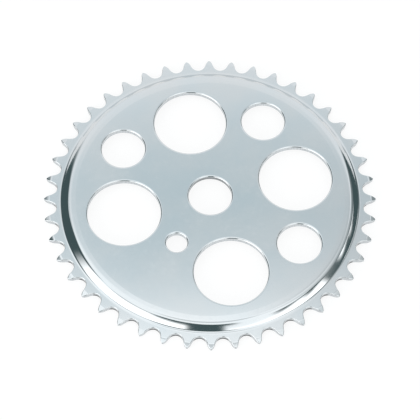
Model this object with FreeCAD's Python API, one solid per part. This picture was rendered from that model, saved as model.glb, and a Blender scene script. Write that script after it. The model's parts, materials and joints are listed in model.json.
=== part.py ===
"""Pressed steel sprocket for half inch pitch chain: one plate with 44 teeth, a raised disc and nine round holes.

The plate is blanked from 3 mm strip and its middle is pressed up into a flat disc with a rolled shoulder.  The
holes are punched from the raised side, which leaves a soft roll on every upper edge and a small break on every
lower one.  It is a single piece of metal, so it is a single solid in a single node.

Frame, in millimetres: the origin is on the axis of the bore, in the flat back of the tooth ring.  +Z runs along
the bore towards the raised face, and the drive pin hole is on -Y.
"""

import FreeCAD
import Part

import math
import os

NODE = "sprocket_plate"

# Chain and teeth, to the American standard tooth form
TOOTH_COUNT = 44
CHAIN_PITCH = 12.7
ROLLER_DIAMETER = 7.75
SEATING_CLEARANCE = 0.0381
TOOTH_PHASE = -0.8  # degrees from +X to the nearest tooth
TOPPING_RADIUS = 5.7  # of the curve that draws each flank in to the tip
TIP_DIAMETER = 184.0  # the tips are rounded off a little lower than the standard allows
RELIEF_LENGTH = 2.6  # the outer part of each tooth, bevelled on both faces
RELIEF_SLOPE = 17.0  # degrees
RELIEF_ROUND = 5.0
BLANKING_MARGIN = 1.0  # the plate reaches this far past the tips until the teeth are cut

# Plate and pressing, as the corners that the rounded section would have if it were sharp
PLATE_THICKNESS = 3.0
DISC_RISE = 3.2  # from the top of the tooth ring to the top of the disc
WALL_SLOPE = 38.5  # degrees, of the pressed wall between them
WALL_FOOT_RADIUS = 82.5
CROWN_START_RADIUS = 75.4  # the disc falls away a little before its shoulder
CROWN_DROP = 0.07
CROWN_ROUND = 120.0
SHOULDER_ROUND = 4.0
WALL_FOOT_ROUND = 2.2
BACK_SHOULDER_ROUND = 1.0
BACK_BEND_ROUND = 5.2

# Holes: diameter, distance from the bore, and directions in degrees from +X
BORE_DIAMETER = 24.0
PIN_HOLE_DIAMETER = 11.6
PIN_HOLE_DISTANCE = 34.9
PIN_HOLE_DIRECTION = -90.0
LARGE_HOLE_DIAMETER = 40.4
LARGE_HOLE_DISTANCE = 48.7
LARGE_HOLE_DIRECTIONS = (-45.0, 45.0, 135.0, 225.0)
SMALL_HOLE_DIAMETER = 24.2
SMALL_HOLE_DISTANCE = 57.1
SMALL_HOLE_DIRECTIONS = (0.0, 90.0, 180.0)
PUNCH_ROLL = 0.8  # on the upper edge of each hole
BURR_BREAK = 0.3  # on the lower edge

# Worked out from the above
HALF_STEP = math.pi / TOOTH_COUNT
PITCH_RADIUS = CHAIN_PITCH / (2.0 * math.sin(HALF_STEP))
TIP_RADIUS = TIP_DIAMETER / 2.0
DISC_BACK = DISC_RISE
DISC_TOP = PLATE_THICKNESS + DISC_RISE
AXIS = FreeCAD.Vector(0.0, 0.0, 1.0)
ORIGIN = FreeCAD.Vector(0.0, 0.0, 0.0)


def arc(centre, start, end):
    """The short arc about a centre from one point to another."""
    middle = (start + end).multiply(0.5).sub(centre).normalize().multiply(start.distanceToPoint(centre))
    return Part.Arc(start, centre.add(middle), end).toShape()


def rounded_wire(corners):
    """A closed wire through (radius, height, round) corners of the section, each one rounded by its arc."""
    points = [FreeCAD.Vector(radius, 0.0, height) for radius, height, _ in corners]
    edges = []
    starts = []
    ends = []
    for index, (_, _, size) in enumerate(corners):
        here = points[index]
        back = points[index - 1].sub(here).normalize()
        ahead = points[(index + 1) % len(points)].sub(here).normalize()
        half = back.getAngle(ahead) / 2.0
        starts.append(here.add(back * (size / math.tan(half))))
        ends.append(here.add(ahead * (size / math.tan(half))))
        if size > 0.0:
            centre = here.add((back + ahead).normalize().multiply(size / math.sin(half)))
            edges.append(arc(centre, starts[-1], ends[-1]))
        if index > 0:
            edges.append(Part.LineSegment(ends[index - 1], starts[index]).toShape())
    edges.append(Part.LineSegment(ends[-1], starts[0]).toShape())
    return Part.Wire(Part.__sortEdges__(edges))


def pressed_blank():
    """The plate before its teeth and holes are punched: its section, turned about the bore."""
    slope = math.radians(WALL_SLOPE)
    shoulder_radius = WALL_FOOT_RADIUS - (DISC_RISE - CROWN_DROP) / math.tan(slope)
    back_shift = PLATE_THICKNESS * math.tan(slope / 2.0)  # corners of two parallel faces lie this far apart
    relief_start = TIP_RADIUS - RELIEF_LENGTH
    blank_radius = TIP_RADIUS + BLANKING_MARGIN
    relief_drop = (blank_radius - relief_start) * math.tan(math.radians(RELIEF_SLOPE))
    corners = [
        (0.0, DISC_TOP, 0.0),
        (CROWN_START_RADIUS, DISC_TOP, CROWN_ROUND),
        (shoulder_radius, DISC_TOP - CROWN_DROP, SHOULDER_ROUND),
        (WALL_FOOT_RADIUS, PLATE_THICKNESS, WALL_FOOT_ROUND),
        (relief_start, PLATE_THICKNESS, RELIEF_ROUND),
        (blank_radius, PLATE_THICKNESS - relief_drop, 0.0),
        (blank_radius, relief_drop, 0.0),
        (relief_start, 0.0, RELIEF_ROUND),
        (WALL_FOOT_RADIUS - back_shift, 0.0, BACK_BEND_ROUND),
        (WALL_FOOT_RADIUS - back_shift - DISC_RISE / math.tan(slope), DISC_BACK, BACK_SHOULDER_ROUND),
        (0.0, DISC_BACK, 0.0),
    ]
    return Part.Face(rounded_wire(corners)).revolve(ORIGIN, AXIS, 360.0)


def tooth_gap():
    """The edges of one gap between teeth, centred on +X, from the tip of one tooth to the tip of the next."""
    turn = 1.0 / TOOTH_COUNT
    seat_radius = 0.5025 * ROLLER_DIAMETER + SEATING_CLEARANCE
    seat_angle = math.radians(35.0 + 60.0 * turn)
    working_angle = math.radians(18.0 - 56.0 * turn)
    working_centre_distance = 0.8 * ROLLER_DIAMETER
    working_radius = seat_radius + working_centre_distance

    roller = FreeCAD.Vector(PITCH_RADIUS, 0.0, 0.0)
    inward = FreeCAD.Vector(-math.sin(seat_angle), math.cos(seat_angle), 0.0)
    working_centre = roller - inward * working_centre_distance
    seat_end = roller + inward * seat_radius
    outward = FreeCAD.Vector(
        math.sin(working_angle - seat_angle),
        math.cos(working_angle - seat_angle),
        0.0,
    )
    working_end = working_centre + outward * working_radius
    topping_centre = working_end + outward * TOPPING_RADIUS
    tooth_line = FreeCAD.Vector(math.cos(HALF_STEP), math.sin(HALF_STEP), 0.0)
    reach = topping_centre.dot(tooth_line)
    off_line = topping_centre.dot(topping_centre) - reach**2
    overhang = TIP_RADIUS - reach
    # The tip is one arc, tangent to the topping arcs of both flanks.
    tip_radius = (overhang**2 + off_line - TOPPING_RADIUS**2) / (2.0 * (overhang - TOPPING_RADIUS))
    tip_centre = tooth_line * (TIP_RADIUS - tip_radius)
    topping_end = topping_centre + (tip_centre - topping_centre).normalize() * TOPPING_RADIUS
    tip = tooth_line * TIP_RADIUS

    half = [
        arc(roller, FreeCAD.Vector(PITCH_RADIUS - seat_radius, 0.0, 0.0), seat_end),
        arc(working_centre, seat_end, working_end),
        arc(topping_centre, working_end, topping_end),
        arc(tip_centre, topping_end, tip),
    ]
    other_half = [edge.mirror(ORIGIN, FreeCAD.Vector(0.0, 1.0, 0.0)) for edge in reversed(half)]
    return other_half + half


def toothed_prism():
    """The outline of all the teeth, taller than the plate."""
    gap = tooth_gap()
    edges = []
    for index in range(TOOTH_COUNT):
        angle = TOOTH_PHASE + math.degrees(HALF_STEP) * (2 * index + 1)
        edges += [edge.rotated(ORIGIN, AXIS, angle) for edge in gap]
    return Part.Face(Part.Wire(edges)).extrude(AXIS * DISC_TOP)


def hole(diameter, distance, direction):
    """A punched hole as a cylinder through the disc."""
    turn = math.radians(direction)
    foot = FreeCAD.Vector(distance * math.cos(turn), distance * math.sin(turn), 0.0)
    return Part.makeCylinder(diameter / 2.0, 2.0 * DISC_TOP, foot, AXIS)


def all_holes():
    holes = [
        hole(BORE_DIAMETER, 0.0, 0.0),
        hole(PIN_HOLE_DIAMETER, PIN_HOLE_DISTANCE, PIN_HOLE_DIRECTION),
    ]
    holes += [hole(LARGE_HOLE_DIAMETER, LARGE_HOLE_DISTANCE, d) for d in LARGE_HOLE_DIRECTIONS]
    holes += [hole(SMALL_HOLE_DIAMETER, SMALL_HOLE_DISTANCE, d) for d in SMALL_HOLE_DIRECTIONS]
    return holes


def hole_edges(plate, height):
    """The edges of the holes in one face of the disc."""
    largest = LARGE_HOLE_DIAMETER / 2.0
    circles = [edge for edge in plate.Edges if isinstance(edge.Curve, Part.Circle) and len(edge.Vertexes) == 1]
    level = [edge for edge in circles if abs(edge.Curve.Center.z - height) < Part.Precision.confusion()]
    return [edge for edge in level if edge.Curve.Radius <= largest]


def sprocket_plate():
    plate = pressed_blank().common(toothed_prism())
    plate = plate.cut(all_holes())
    plate = plate.makeFillet(PUNCH_ROLL, hole_edges(plate, DISC_TOP))
    plate = plate.makeFillet(BURR_BREAK, hole_edges(plate, DISC_BACK))
    return plate.Solids[0]


os.makedirs("parts", exist_ok=True)
sprocket_plate().exportStep(os.path.join("parts", NODE + ".step"))
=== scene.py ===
"""A chrome plated crank sprocket, pressed from one steel plate.

The plate is made in three runs of work: one tooth is cut and repeated round the ring, the rolled rim is
turned, and the holes are punched with their soft upper edges.  Everything is in metres, in the frame of the
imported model: the origin is on the bore's axis in the flat back of the tooth ring, and +Z runs towards the
raised face.
"""

import json
import math

import bmesh
import bpy
from mathutils import Matrix, Vector


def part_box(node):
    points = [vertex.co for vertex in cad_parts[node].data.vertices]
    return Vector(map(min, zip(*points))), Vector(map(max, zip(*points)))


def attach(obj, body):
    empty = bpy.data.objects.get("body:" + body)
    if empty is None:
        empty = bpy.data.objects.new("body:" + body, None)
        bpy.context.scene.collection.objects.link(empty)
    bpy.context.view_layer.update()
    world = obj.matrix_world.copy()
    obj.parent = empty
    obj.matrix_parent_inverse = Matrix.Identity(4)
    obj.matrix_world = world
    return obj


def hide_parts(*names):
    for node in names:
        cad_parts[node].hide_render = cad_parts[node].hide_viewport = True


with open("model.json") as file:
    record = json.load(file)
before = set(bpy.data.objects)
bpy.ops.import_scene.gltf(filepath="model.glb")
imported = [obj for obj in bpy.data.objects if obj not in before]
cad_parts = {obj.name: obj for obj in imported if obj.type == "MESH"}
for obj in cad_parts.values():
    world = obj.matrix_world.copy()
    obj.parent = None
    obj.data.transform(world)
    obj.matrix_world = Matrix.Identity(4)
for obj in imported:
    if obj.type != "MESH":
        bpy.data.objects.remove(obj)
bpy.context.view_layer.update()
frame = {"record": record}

MM = 0.001
NODE = "sprocket_plate"
UP = Vector((0.0, 0.0, 1.0))
OUTWARD = Vector((1.0, 0.0, 0.0))
AXIS_POINT = Vector((0.0, 0.0, 0.0))

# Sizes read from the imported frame
MOUNTS = {mount["name"]: mount for mount in frame["record"]["mounts"]}
OPENINGS = frame["record"]["physics"]["openings"]
DISC_TOP = MOUNTS["outboard_disc_face"]["pos_m"][2]
DISC_BACK = MOUNTS["inboard_disc_face"]["pos_m"][2]
THICKNESS = DISC_TOP - DISC_BACK
TOOTH_COUNT = MOUNTS["tooth_ring"]["dims"]["count"]
PITCH_RADIUS = MOUNTS["tooth_ring"]["dims"]["pcd_mm"] * MM / 2.0
OUTER_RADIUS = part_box(NODE)[1].x
HALF_STEP = math.pi / TOOTH_COUNT

# Rim: the corners of the pressed section and how far each is rounded along its two sides
WALL_SLOPE = math.radians(37.8)
WALL_FOOT_RADIUS = 82.5 * MM
CROWN_START_RADIUS = 75.4 * MM
CROWN_DROP = 0.07 * MM
CROWN_ROUND = 1.2 * MM
SHOULDER_ROUND = 1.1 * MM
WALL_FOOT_ROUND = 0.77 * MM
WALL_BULGE = 0.1 * MM  # the pressed wall is not quite straight
WALL_BULGE_ROUND = 1.4 * MM
BACK_SHOULDER_ROUND = 0.35 * MM
BACK_BEND_ROUND = 1.8 * MM
DISC_EDGE_RADIUS = 72.0 * MM
RING_EDGE_RADIUS = 84.0 * MM
STEPS_PER_TOOTH = 8

# Holes
LARGE_HOLE_RADIUS = 20.2 * MM
SMALL_HOLE_RADIUS = 12.1 * MM
PUNCH_ROLL = 0.8 * MM
BURR_BREAK = 0.3 * MM
HOLE_MARGIN = 0.35 * MM
HOLE_STEPS = 160

# Teeth, to the American standard form for half inch chain as far as the working curve
ROLLER = 7.75 * MM
SEAT_CLEARANCE = 0.0381 * MM
TOPPING_RADIUS = 5.7 * MM  # of the curve that draws each flank in to the tip
TOOTH_PHASE = math.radians(-0.8)
TOOTH_ROLL = 0.35 * MM
TOOTH_BREAK = 0.12 * MM
RELIEF_START = OUTER_RADIUS - 2.6 * MM
RELIEF_SLOPE = math.radians(17.0)
RELIEF_BLEND = 0.35 * MM
RELIEF_CUTS = [distance * MM for distance in (-0.7, -0.35, -0.1, 0.15, 0.5, 1.0, 1.7)]
SEAT_STEPS = 12
WORKING_STEPS = 4
TOPPING_STEPS = 8
TIP_STEPS = 8
MERGE = 0.003 * MM
PUNCHED_LEAN = 0.12  # a face whose normal rises less than this is an upright, punched wall
VERTEX_BEVEL = {"affect": "VERTICES", "offset_type": "OFFSET", "profile": 0.5, "material": -1}
EDGE_BEVEL = {"affect": "EDGES", "offset_type": "OFFSET", "profile": 0.5, "material": -1}

# Finishes: the colours, then how fine each pattern is (in turns to the metre), how deep and how rough
MICRON = 1.0e-6
CHROME_COOL = (0.63, 0.67, 0.69)
CHROME_WARM = (0.66, 0.68, 0.69)
# dark grey of the painted shade low in the tooth roots, also used to darken the bore's wall
PUNCHED_GREY = (0.50, 0.52, 0.54)
ROOT_SHADE_AND_BORE_DARK = (0.08, 0.085, 0.085)
HAZE_FINENESS = 38.0
SPECK_FINENESS = 420.0
BUFFING_FINENESS = (3200.0, 170.0, 800.0)
WAVE_FINENESS = 26.0
PEEL_FINENESS = 1400.0
SCORE_FINENESS = (2300.0, 2300.0, 130.0)
GRAIN_FINENESS = 2600.0
WAVE_DEPTH = 40.0 * MICRON
BUFFING_DEPTH = 0.35 * MICRON
PEEL_DEPTH = 0.5 * MICRON
SCORE_DEPTH = 6.0 * MICRON
GRAIN_DEPTH = 2.0 * MICRON
HAZE_ROUGHNESS = (0.055, 0.085)
SPECK_ROUGHNESS = (0.0, 0.04)
PUNCHED_ROUGHNESS = (0.12, 0.26)
BORE_REACH = 13.0 * MM  # the bore's wall is darker within this radius
BORE_BLUR = 1.0 * MM
BORE_DARKENING = 0.6
ROOT_SHADE_REACH = 86.6 * MM  # painted shade: the walls of the tooth roots are darkened within this radius, low down next to the floor
ROOT_SHADE_BLUR = 0.5 * MM
ROOT_SHADE_STRENGTH = 0.95
ROOT_SHADE_HEIGHTS = (0.9 * MM, 1.9 * MM)

# Studio: angles in degrees, azimuth from +X towards +Y
FLOOR_SIZE = 12.0
FLOOR_GLOW = 0.82
FLOOR_PALE = (0.19, 0.19, 0.19)
FLOOR_PALER = (0.21, 0.21, 0.21)
TENT_LOW = (1.02, 1.05, 1.07)
TENT_HIGH = (1.30, 1.34, 1.36)
TENT_RISE = (-0.035, 0.09)
STRIP_GREY = (0.69, 0.79, 0.83)
STRIP_MIDDLE = (120.3, 60.2)
STRIP_TILT = math.radians(7.5)
STRIP_HALF_LENGTH = math.radians(8.5)
STRIP_HALF_WIDTH = math.radians(4.2)
STRIP_SOFTNESS = 0.3
BOX_WHITE = (1.9, 1.9, 1.9)
GAP_DARK = (0.075, 0.115, 0.12)
SLOT_GREY = (0.66, 0.70, 0.72)
HAZE_GREY = (0.84, 0.88, 0.90)
LOWER_BLUR = 2.0  # of each panel's lower end
# Bearing, half width, side blur, lowest, highest, blur of the upper end, colour; later ones hang in front
PANELS = (
    # a scrim straight above, and a skirt under the right box
    (0.0, 180.0, 1.0, 80.0, 95.0, 3.0, HAZE_GREY),
    (345.0, 42.0, 4.0, -6.0, 19.0, 3.0, SLOT_GREY),
    # the near left and right boxes
    (248.0, 42.0, 4.0, -5.0, 42.0, 2.0, BOX_WHITE),
    (345.0, 42.0, 4.0, 19.0, 36.0, 2.0, BOX_WHITE),
    # the tent's openings above the boxes
    (244.0, 18.0, 8.0, 43.0, 60.0, 4.0, HAZE_GREY),
    (277.0, 15.0, 6.0, 41.0, 61.0, 4.0, GAP_DARK),
    (358.0, 12.0, 5.0, 36.0, 47.0, 3.0, GAP_DARK),
    (14.0, 9.0, 5.0, 31.0, 49.0, 3.0, GAP_DARK),
    # the slot beside the strip, and the far cloth behind the part
    (98.0, 14.0, 8.0, 58.0, 67.0, 3.0, SLOT_GREY),
    (122.0, 42.0, 6.0, -6.0, 6.0, 3.0, HAZE_GREY),
    # the gap on the left, with a pale flap across its top
    (188.0, 26.5, 8.0, -6.0, 55.0, 5.0, GAP_DARK),
    (170.0, 7.0, 4.0, 43.0, 57.0, 3.0, HAZE_GREY),
    # the gap between the boxes, where the camera looks in
    (299.5, 12.0, 3.0, -6.0, 55.0, 4.0, GAP_DARK),
    (303.0, 17.0, 5.0, 42.0, 56.0, 4.0, GAP_DARK),
    # the gap on the right, which fades upwards, and two small lamps in it
    (49.5, 31.5, 3.0, -6.0, 54.0, 42.0, GAP_DARK),
    (40.0, 7.0, 4.0, 21.0, 27.0, 2.0, BOX_WHITE),
    (52.0, 6.0, 4.0, 16.5, 22.0, 2.0, BOX_WHITE),
)
SOFTBOX_POWER = 3.0
SOFTBOX_DIRECTION = (250.0, 20.0)
SOFTBOX_DISTANCE = 1.8
SOFTBOX_SIZE = (1.4, 0.7)

# Camera
CAMERA_AZIMUTH = -59.70
CAMERA_ELEVATION = 60.465
CAMERA_ROLL = math.radians(1.43)
CAMERA_DISTANCE = 1.0373
CAMERA_LENS = 160.51
CAMERA_SENSOR = 36.0
CAMERA_TARGET = Vector((3.04, -5.02, 0.0)) * MM


def joined(bm, part):
    """Adds a finished part to the plate, and lets the part go."""
    mesh = bpy.data.meshes.new("part")
    part.to_mesh(mesh)
    part.free()
    bm.from_mesh(mesh)
    bpy.data.meshes.remove(mesh)


def turned(bm, corners, centre, steps, turn=0.0):
    """A surface of revolution from (radius, height, round, segments) corners, spun about an upright axis."""
    part = bmesh.new()
    outward = Vector((math.cos(turn), math.sin(turn), 0.0))
    verts = [part.verts.new(centre + outward * radius + UP * height) for radius, height, _, _ in corners]
    for pair in zip(verts, verts[1:]):
        part.edges.new(pair)
    for vert, (_, _, size, segments) in zip(verts, corners):
        if size > 0.0:
            bmesh.ops.bevel(part, geom=[vert], offset=size, segments=segments, **VERTEX_BEVEL)
    section = part.verts[:] + part.edges[:]
    whole = 2.0 * math.pi
    bmesh.ops.spin(part, geom=section, cent=centre, axis=UP, angle=whole, steps=steps, use_merge=True)
    joined(bm, part)


def rim(bm):
    """The rolled shoulder, pressed wall and flat ring, above and below, as far as the feet of the teeth."""
    shoulder_radius = WALL_FOOT_RADIUS - (DISC_BACK - CROWN_DROP) / math.tan(WALL_SLOPE)
    back_shift = THICKNESS * math.tan(WALL_SLOPE / 2.0)
    back_foot = WALL_FOOT_RADIUS - back_shift
    back_shoulder = back_foot - DISC_BACK / math.tan(WALL_SLOPE)
    middle_radius = (shoulder_radius + WALL_FOOT_RADIUS) / 2.0 + WALL_BULGE * math.sin(WALL_SLOPE)
    middle_height = (DISC_TOP - CROWN_DROP + THICKNESS) / 2.0 + WALL_BULGE * math.cos(WALL_SLOPE)
    top = [
        (DISC_EDGE_RADIUS, DISC_TOP, 0.0, 0),
        (CROWN_START_RADIUS, DISC_TOP, CROWN_ROUND, 8),
        (shoulder_radius, DISC_TOP - CROWN_DROP, SHOULDER_ROUND, 8),
        (middle_radius, middle_height, WALL_BULGE_ROUND, 6),
        (WALL_FOOT_RADIUS, THICKNESS, WALL_FOOT_ROUND, 8),
        (RING_EDGE_RADIUS, THICKNESS, 0.0, 0),
    ]
    back = [
        (RING_EDGE_RADIUS, 0.0, 0.0, 0),
        (back_foot, 0.0, BACK_BEND_ROUND, 8),
        (back_shoulder, DISC_BACK, BACK_SHOULDER_ROUND, 6),
        (DISC_EDGE_RADIUS, DISC_BACK, 0.0, 0),
    ]
    for corners in (top, back):
        turned(bm, corners, AXIS_POINT, STEPS_PER_TOOTH * TOOTH_COUNT, TOOTH_PHASE + HALF_STEP)


def hole_places():
    """The centre and radius of every hole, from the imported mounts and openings."""
    places = []
    for name in ("crank_bore", "drive_pin_hole"):
        mount = MOUNTS[name]
        x, y, _ = mount["pos_m"]
        places.append((Vector((x, y, 0.0)), mount["dims"]["r_mm"] * MM))
    for opening in OPENINGS:
        low, high = (Vector(corner) for corner in opening["box_m"])
        centre = (low + high) / 2.0
        centre.z = 0.0
        large = opening["name"].startswith("large")
        places.append((centre, LARGE_HOLE_RADIUS if large else SMALL_HOLE_RADIUS))
    return places


def punched_hole(bm, centre, radius):
    """The wall of a hole, with the punch's soft roll above, a small break below and flat margins."""
    corners = [
        (radius + PUNCH_ROLL + HOLE_MARGIN, DISC_TOP, 0.0, 0),
        (radius, DISC_TOP, PUNCH_ROLL, 8),
        (radius, DISC_BACK, BURR_BREAK, 4),
        (radius + BURR_BREAK + HOLE_MARGIN, DISC_BACK, 0.0, 0),
    ]
    turned(bm, corners, centre, HOLE_STEPS)


def disc_faces(bm):
    """The two flat faces of the disc, filled between the rim and the holes."""
    for height in (DISC_TOP, DISC_BACK):
        ring = [
            edge
            for edge in bm.edges
            if edge.is_boundary and all(abs(vert.co.z - height) < MERGE for vert in edge.verts)
        ]
        bmesh.ops.triangle_fill(bm, use_beauty=True, use_dissolve=False, edges=ring, normal=UP)


def swept(bm, vert, centre, angle, steps):
    """An arc of edges from a vertex about an upright axis; gives the vertex at its end."""
    last = bmesh.ops.spin(bm, geom=[vert], cent=centre, axis=UP, angle=angle, steps=steps)["geom_last"]
    return next(part for part in last if isinstance(part, bmesh.types.BMVert))


def flank(bm):
    """Half of a tooth's outline, from the middle of a gap centred on +X to the middle of the rounded tip."""
    turn = 1.0 / TOOTH_COUNT
    seat_radius = 0.5025 * ROLLER + SEAT_CLEARANCE
    seat_angle = math.radians(35.0 + 60.0 * turn)
    working_angle = math.radians(18.0 - 56.0 * turn)
    working_reach = 0.8 * ROLLER

    roller = Vector((PITCH_RADIUS, 0.0, 0.0))
    root = bm.verts.new((PITCH_RADIUS - seat_radius, 0.0, 0.0))
    seat_end = swept(bm, root, roller, seat_angle - math.pi / 2.0, SEAT_STEPS)
    inward = (seat_end.co - roller).normalized()
    working_centre = roller - inward * working_reach
    working_end = swept(bm, seat_end, working_centre, -working_angle, WORKING_STEPS)
    outward = (working_end.co - working_centre).normalized()
    topping_centre = working_end.co + outward * TOPPING_RADIUS
    tooth_line = Vector((math.cos(HALF_STEP), math.sin(HALF_STEP), 0.0))
    reach = topping_centre.dot(tooth_line)
    overhang = OUTER_RADIUS - reach
    off_line = topping_centre.length_squared - reach**2
    tip_radius = (overhang**2 + off_line - TOPPING_RADIUS**2) / (2.0 * (overhang - TOPPING_RADIUS))
    tip_centre = tooth_line * (OUTER_RADIUS - tip_radius)
    ahead = tip_centre - topping_centre
    start = math.atan2(-outward.y, -outward.x)
    end = math.atan2(ahead.y, ahead.x)
    topping_end = swept(bm, working_end, topping_centre, end - start, TOPPING_STEPS)
    swept(bm, topping_end, tip_centre, HALF_STEP - end, TIP_STEPS)
    return root


def on_cut(vert):
    """Whether a vertex is where one tooth's piece of the ring meets the next piece or the rim."""
    radius = vert.co.to_2d().length
    turn = abs(math.atan2(vert.co.y, vert.co.x))
    return radius < RING_EDGE_RADIUS + MERGE or abs(turn - HALF_STEP) * radius < MERGE


def relief_drop(distance):
    """How far each face of a tooth has fallen away at a distance past the start of its bevel."""
    return math.tan(RELIEF_SLOPE) * (distance + math.hypot(distance, RELIEF_BLEND)) / 2.0


def tooth(bm):
    """One tooth on +X with its share of the ring, rolled on its upper edge and bevelled towards the tip."""
    root = flank(bm)
    bmesh.ops.rotate(bm, verts=bm.verts[:], cent=AXIS_POINT, matrix=Matrix.Rotation(-HALF_STEP, 3, "Z"))
    inner = bm.verts.new(root.co.normalized() * RING_EDGE_RADIUS)
    bm.edges.new((inner, root))
    swept(bm, inner, AXIS_POINT, HALF_STEP, STEPS_PER_TOOTH // 2)
    everything = bm.verts[:] + bm.edges[:]
    bmesh.ops.mirror(bm, geom=everything, matrix=Matrix.Identity(4), merge_dist=MERGE, axis="Y")
    blank = bmesh.ops.edgeloop_fill(bm, edges=bm.edges[:])["faces"]
    raised = bmesh.ops.extrude_face_region(bm, geom=blank)["geom"]
    top = [part for part in raised if isinstance(part, bmesh.types.BMVert)]
    bmesh.ops.translate(bm, verts=top, vec=UP * THICKNESS)
    bmesh.ops.recalc_face_normals(bm, faces=bm.faces[:])

    for height, size, segments in ((THICKNESS, TOOTH_ROLL, 4), (0.0, TOOTH_BREAK, 2)):
        edges = [
            edge
            for edge in bm.edges
            if all(abs(vert.co.z - height) < MERGE for vert in edge.verts)
            and not all(on_cut(vert) for vert in edge.verts)
        ]
        bmesh.ops.bevel(bm, geom=edges, offset=size, segments=segments, **EDGE_BEVEL)
    inside = [face for face in bm.faces if all(on_cut(vert) for vert in face.verts)]
    bmesh.ops.delete(bm, geom=inside, context="FACES")

    for distance in RELIEF_CUTS:
        everything = bm.verts[:] + bm.edges[:] + bm.faces[:]
        place = Vector((RELIEF_START + distance, 0.0, 0.0))
        bmesh.ops.bisect_plane(bm, geom=everything, dist=MERGE / 10.0, plane_co=place, plane_no=OUTWARD)
    middle = THICKNESS / 2.0
    for vert in bm.verts:
        distance = vert.co.x - RELIEF_START
        if distance > RELIEF_CUTS[0]:
            drop = relief_drop(distance) - relief_drop(RELIEF_CUTS[0])
            vert.co.z = middle + (vert.co.z - middle) * (1.0 - drop / middle)


def all_teeth(bm):
    """The first tooth, copied round the ring."""
    tooth(bm)
    everything = bm.verts[:] + bm.edges[:] + bm.faces[:]
    bmesh.ops.spin(
        bm,
        geom=everything,
        cent=AXIS_POINT,
        axis=UP,
        angle=2.0 * HALF_STEP * (TOOTH_COUNT - 1),
        steps=TOOTH_COUNT - 1,
        use_duplicate=True,
    )
    bmesh.ops.rotate(bm, verts=bm.verts[:], cent=AXIS_POINT, matrix=Matrix.Rotation(TOOTH_PHASE, 3, "Z"))


def punched_faces(bm):
    """The upright walls that the punches and the blanking die left."""
    return [face for face in bm.faces if abs(face.normal.z) < PUNCHED_LEAN]


def sprocket():
    """The whole plate as one closed mesh, polished on its faces and as punched on its walls."""
    bm = bmesh.new()
    all_teeth(bm)
    rim(bm)
    for centre, radius in hole_places():
        punched_hole(bm, centre, radius)
    bmesh.ops.remove_doubles(bm, verts=bm.verts[:], dist=MERGE)
    disc_faces(bm)
    bmesh.ops.remove_doubles(bm, verts=bm.verts[:], dist=MERGE)
    bmesh.ops.recalc_face_normals(bm, faces=bm.faces[:])
    for face in bm.faces:
        face.smooth = True
    for face in punched_faces(bm):
        face.material_index = 1
    mesh = bpy.data.meshes.new("sprocket")
    bm.to_mesh(mesh)
    bm.free()
    piece = bpy.data.objects.new("sprocket", mesh)
    bpy.context.scene.collection.objects.link(piece)
    mesh.materials.append(polished_chrome())
    mesh.materials.append(punched_chrome())
    normals = piece.modifiers.new("even_shading", "WEIGHTED_NORMAL")
    normals.mode = "FACE_AREA"
    normals.weight = 50
    normals.keep_sharp = True
    return piece


class Nodes:
    """A short way to lay shader nodes: each call adds one node and gives its first output."""

    def __init__(self, tree):
        self.tree = tree
        tree.nodes.clear()

    def add(self, kind, inputs=(), output=0, **settings):
        node = self.tree.nodes.new(kind)
        for name, value in settings.items():
            setattr(node, name, value)
        for key, value in dict(inputs).items():
            if isinstance(value, bpy.types.NodeSocket):
                self.tree.links.new(value, node.inputs[key])
            else:
                node.inputs[key].default_value = value
        return node.outputs[output] if output is not None else node

    def math(self, operation, first, second=0.0, third=0.0):
        return self.add("ShaderNodeMath", {0: first, 1: second, 2: third}, operation=operation)

    def ramp(self, value, low, high, to_low=0.0, to_high=1.0):
        inputs = {"Value": value, 1: low, 2: high, 3: to_low, 4: to_high}
        return self.add("ShaderNodeMapRange", inputs, interpolation_type="SMOOTHSTEP")

    def noise(self, vector, scale, detail=2.0, roughness=0.5):
        inputs = {"Vector": vector, "Scale": scale, "Detail": detail, "Roughness": roughness}
        return self.add("ShaderNodeTexNoise", inputs, noise_dimensions="3D")

    def stretched(self, vector, scale):
        return self.add("ShaderNodeMapping", {"Vector": vector, "Scale": scale})

    def bump(self, height, distance, strength=1.0, normal=None):
        inputs = {"Height": height, "Distance": distance, "Strength": strength}
        if normal:
            inputs["Normal"] = normal
        return self.add("ShaderNodeBump", inputs)

    def blended(self, factor, first, second):
        return self.add("ShaderNodeMix", {0: factor, 6: first, 7: second}, output=2, data_type="RGBA")

    def colours(self, factor, first, second):
        return self.blended(factor, (*first, 1.0), (*second, 1.0))

    def band(self, angle, edge, blur):
        """One below an edge in degrees and none above it, with a blur of so many degrees each way."""
        return self.ramp(angle, math.radians(edge - blur), math.radians(edge + blur), 1.0, 0.0)


def finished(nodes, colour, roughness, normal):
    """A bare metal surface from its colour, roughness and normal."""
    shader = nodes.add(
        "ShaderNodeBsdfPrincipled",
        {"Base Color": colour, "Metallic": 1.0, "Roughness": roughness, "Normal": normal},
    )
    nodes.add("ShaderNodeOutputMaterial", {"Surface": shader}, output=None)


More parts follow.
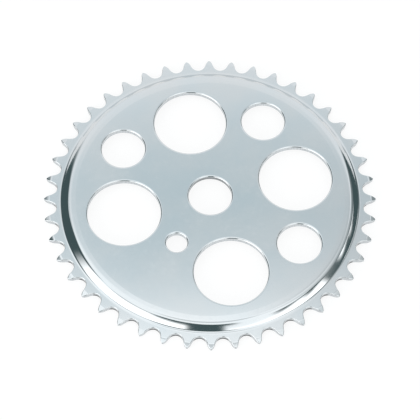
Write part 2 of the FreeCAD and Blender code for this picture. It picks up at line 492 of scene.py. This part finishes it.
def polished_chrome():
    """Bright chrome over buffed steel: a faint haze, fine buffing lines and a pressed sheet's slow waves."""
    material = bpy.data.materials.new("polished_chrome")
    material.use_nodes = True
    nodes = Nodes(material.node_tree)
    place = nodes.add("ShaderNodeTexCoord", output=3)
    haze = nodes.noise(place, HAZE_FINENESS, 3.0)
    fine_haze = nodes.noise(place, SPECK_FINENESS, 4.0)
    lines = nodes.noise(nodes.stretched(place, BUFFING_FINENESS), 1.0, 3.0)
    waves = nodes.noise(place, WAVE_FINENESS, 1.0)
    peel = nodes.noise(place, PEEL_FINENESS, 2.0)

    colour = nodes.colours(nodes.ramp(haze, 0.3, 0.7), CHROME_COOL, CHROME_WARM)
    dulled = nodes.ramp(haze, 0.3, 0.7, *HAZE_ROUGHNESS)
    specks = nodes.ramp(fine_haze, 0.45, 0.8, *SPECK_ROUGHNESS)
    roughness = nodes.math("ADD", dulled, specks)
    normal = nodes.bump(waves, WAVE_DEPTH)
    normal = nodes.bump(lines, BUFFING_DEPTH, normal=normal)
    normal = nodes.bump(peel, PEEL_DEPTH, normal=normal)
    finished(nodes, colour, roughness, normal)
    return material


def punched_chrome():
    """Chrome over a punched wall: upright score marks, a darker bore wall, and painted shade low in the
    tooth roots, next to the floor.
    """
    material = bpy.data.materials.new("punched_chrome")
    material.use_nodes = True
    nodes = Nodes(material.node_tree)
    place = nodes.add("ShaderNodeTexCoord", output=3)
    scores = nodes.noise(nodes.stretched(place, SCORE_FINENESS), 1.0, 4.0)
    grain = nodes.noise(place, GRAIN_FINENESS, 3.0)
    plated = nodes.colours(nodes.ramp(scores, 0.3, 0.75), CHROME_COOL, PUNCHED_GREY)
    parts = nodes.add("ShaderNodeSeparateXYZ", {0: place}, output=None)
    flat = nodes.add("ShaderNodeCombineXYZ", {0: parts.outputs[0], 1: parts.outputs[1]})
    reach = nodes.add("ShaderNodeVectorMath", {0: flat}, output=1, operation="LENGTH")
    # the bore's wall is blended towards the dark grey
    in_bore = nodes.ramp(reach, BORE_REACH - BORE_BLUR, BORE_REACH + BORE_BLUR, BORE_DARKENING, 0.0)
    # painted shade: the walls of the tooth roots are darkened low down, next to the floor, where their
    # contact shadow falls
    in_root_shade = nodes.ramp(reach, ROOT_SHADE_REACH - ROOT_SHADE_BLUR, ROOT_SHADE_REACH + ROOT_SHADE_BLUR, 1.0, 0.0)
    low_down = nodes.ramp(parts.outputs[2], *ROOT_SHADE_HEIGHTS, ROOT_SHADE_STRENGTH, 0.0)
    root_shade_and_bore_dark = nodes.math("MAXIMUM", in_bore, nodes.math("MULTIPLY", in_root_shade, low_down))
    colour = nodes.blended(root_shade_and_bore_dark, plated, (*ROOT_SHADE_AND_BORE_DARK, 1.0))
    roughness = nodes.ramp(grain, 0.3, 0.8, *PUNCHED_ROUGHNESS)
    normal = nodes.bump(scores, SCORE_DEPTH)
    normal = nodes.bump(grain, GRAIN_DEPTH, normal=normal)
    finished(nodes, colour, roughness, normal)
    return material


def floor():
    """A plain, pale sheet, far wider than the part."""
    bm = bmesh.new()
    bmesh.ops.create_grid(bm, x_segments=1, y_segments=1, size=FLOOR_SIZE / 2.0)
    mesh = bpy.data.meshes.new("floor")
    bm.to_mesh(mesh)
    bm.free()
    sheet = bpy.data.objects.new("floor", mesh)
    bpy.context.scene.collection.objects.link(sheet)
    material = bpy.data.materials.new("pale_floor")
    material.use_nodes = True
    nodes = Nodes(material.node_tree)
    place = nodes.add("ShaderNodeTexCoord", output=3)
    colour = nodes.colours(nodes.noise(place, 3.0), FLOOR_PALE, FLOOR_PALER)
    shader = nodes.add(
        "ShaderNodeBsdfPrincipled",
        {
            "Base Color": colour,
            "Roughness": 0.9,
            "Specular IOR Level": 0.0,
            "Emission Color": (1.0, 1.0, 1.0, 1.0),
            "Emission Strength": FLOOR_GLOW,
        },
    )
    nodes.add("ShaderNodeOutputMaterial", {"Surface": shader}, output=None)
    mesh.materials.append(material)


def direction(azimuth, elevation):
    """The unit direction towards a point of the studio, from its angles in degrees."""
    turn = math.radians(azimuth)
    lift = math.radians(elevation)
    return Vector((math.cos(lift) * math.cos(turn), math.cos(lift) * math.sin(turn), math.sin(lift)))


def studio():
    """A pale tent with a soft grey strip over the far side, bright side boxes and dark gaps between them."""
    world = bpy.data.worlds.new("studio")
    world.use_nodes = True
    bpy.context.scene.world = world
    nodes = Nodes(world.node_tree)
    ray = nodes.add("ShaderNodeTexCoord")
    parts = nodes.add("ShaderNodeSeparateXYZ", {0: ray}, output=None)
    azimuth = nodes.math("ARCTAN2", parts.outputs[1], parts.outputs[0])
    elevation = nodes.math("ARCSINE", parts.outputs[2])

    # The tent is brighter overhead and towards the camera than it is low on the far side.
    middle = direction(*STRIP_MIDDLE)
    along = Matrix.Rotation(STRIP_TILT, 3, middle) @ UP.cross(middle).normalized()
    across = middle.cross(along)
    dot = {"operation": "DOT_PRODUCT"}
    near = nodes.add("ShaderNodeVectorMath", {0: ray, 1: middle}, output=1, **dot)
    side = nodes.add("ShaderNodeVectorMath", {0: ray, 1: along}, output=1, **dot)
    rise = nodes.add("ShaderNodeVectorMath", {0: ray, 1: across}, output=1, **dot)
    tent = nodes.colours(nodes.ramp(rise, *TENT_RISE), TENT_LOW, TENT_HIGH)

    # The strip: a soft grey band whose long side lies nearly level.
    length = nodes.math("DIVIDE", side, math.sin(STRIP_HALF_LENGTH))
    width = nodes.math("DIVIDE", rise, math.sin(STRIP_HALF_WIDTH))
    spread = nodes.math("ADD", nodes.math("POWER", length, 2.0), nodes.math("POWER", width, 2.0))
    strip = nodes.math("SUBTRACT", 1.0, nodes.math("SMOOTH_MIN", spread, 1.0, STRIP_SOFTNESS))
    strip = nodes.math("MULTIPLY", strip, nodes.ramp(near, 0.0, 0.5))
    colour = nodes.blended(strip, tent, (*STRIP_GREY, 1.0))

    for bearing, half_width, side_blur, low, high, end_blur, shade in PANELS:
        turned_by = nodes.math("SUBTRACT", azimuth, math.radians(bearing))
        away = nodes.math("ABSOLUTE", nodes.math("WRAP", turned_by, math.pi, -math.pi))
        inside = nodes.band(away, half_width, side_blur)
        below = nodes.band(elevation, high, end_blur)
        above = nodes.math("SUBTRACT", 1.0, nodes.band(elevation, low, LOWER_BLUR))
        cover = nodes.math("MULTIPLY", nodes.math("MULTIPLY", above, below), inside)
        colour = nodes.blended(cover, colour, (*shade, 1.0))
    background = nodes.add("ShaderNodeBackground", {"Color": colour, "Strength": 1.0})
    nodes.add("ShaderNodeOutputWorld", {"Surface": background}, output=None)


def softbox():
    """One large soft lamp low on the left, in front of the side box."""
    lamp = bpy.data.lights.new("softbox", "AREA")
    lamp.shape = "RECTANGLE"
    lamp.size, lamp.size_y = SOFTBOX_SIZE
    lamp.energy = SOFTBOX_POWER
    lamp_object = bpy.data.objects.new("softbox", lamp)
    place = direction(*SOFTBOX_DIRECTION) * SOFTBOX_DISTANCE
    lamp_object.matrix_world = Matrix.Translation(place) @ place.to_track_quat("Z", "Y").to_matrix().to_4x4()
    bpy.context.scene.collection.objects.link(lamp_object)


def camera():
    """A long lens looking down on the raised face, past the drive pin hole."""
    back = direction(CAMERA_AZIMUTH, CAMERA_ELEVATION)
    right = UP.cross(back).normalized()
    turn = Matrix((right, back.cross(right), back)).transposed() @ Matrix.Rotation(CAMERA_ROLL, 3, "Z")
    lens = bpy.data.cameras.new("camera")
    lens.sensor_width = CAMERA_SENSOR
    lens.lens = CAMERA_LENS
    lens.clip_start = 0.05
    lens.clip_end = 50.0
    holder = bpy.data.objects.new("camera", lens)
    place = CAMERA_TARGET + back * CAMERA_DISTANCE
    holder.matrix_world = Matrix.Translation(place) @ turn.to_4x4()
    bpy.context.scene.collection.objects.link(holder)
    bpy.context.scene.camera = holder


camera()
studio()
softbox()
floor()
plate = sprocket()
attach(plate, "root")
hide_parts(NODE)
bpy.context.scene.view_settings.view_transform = "Standard"
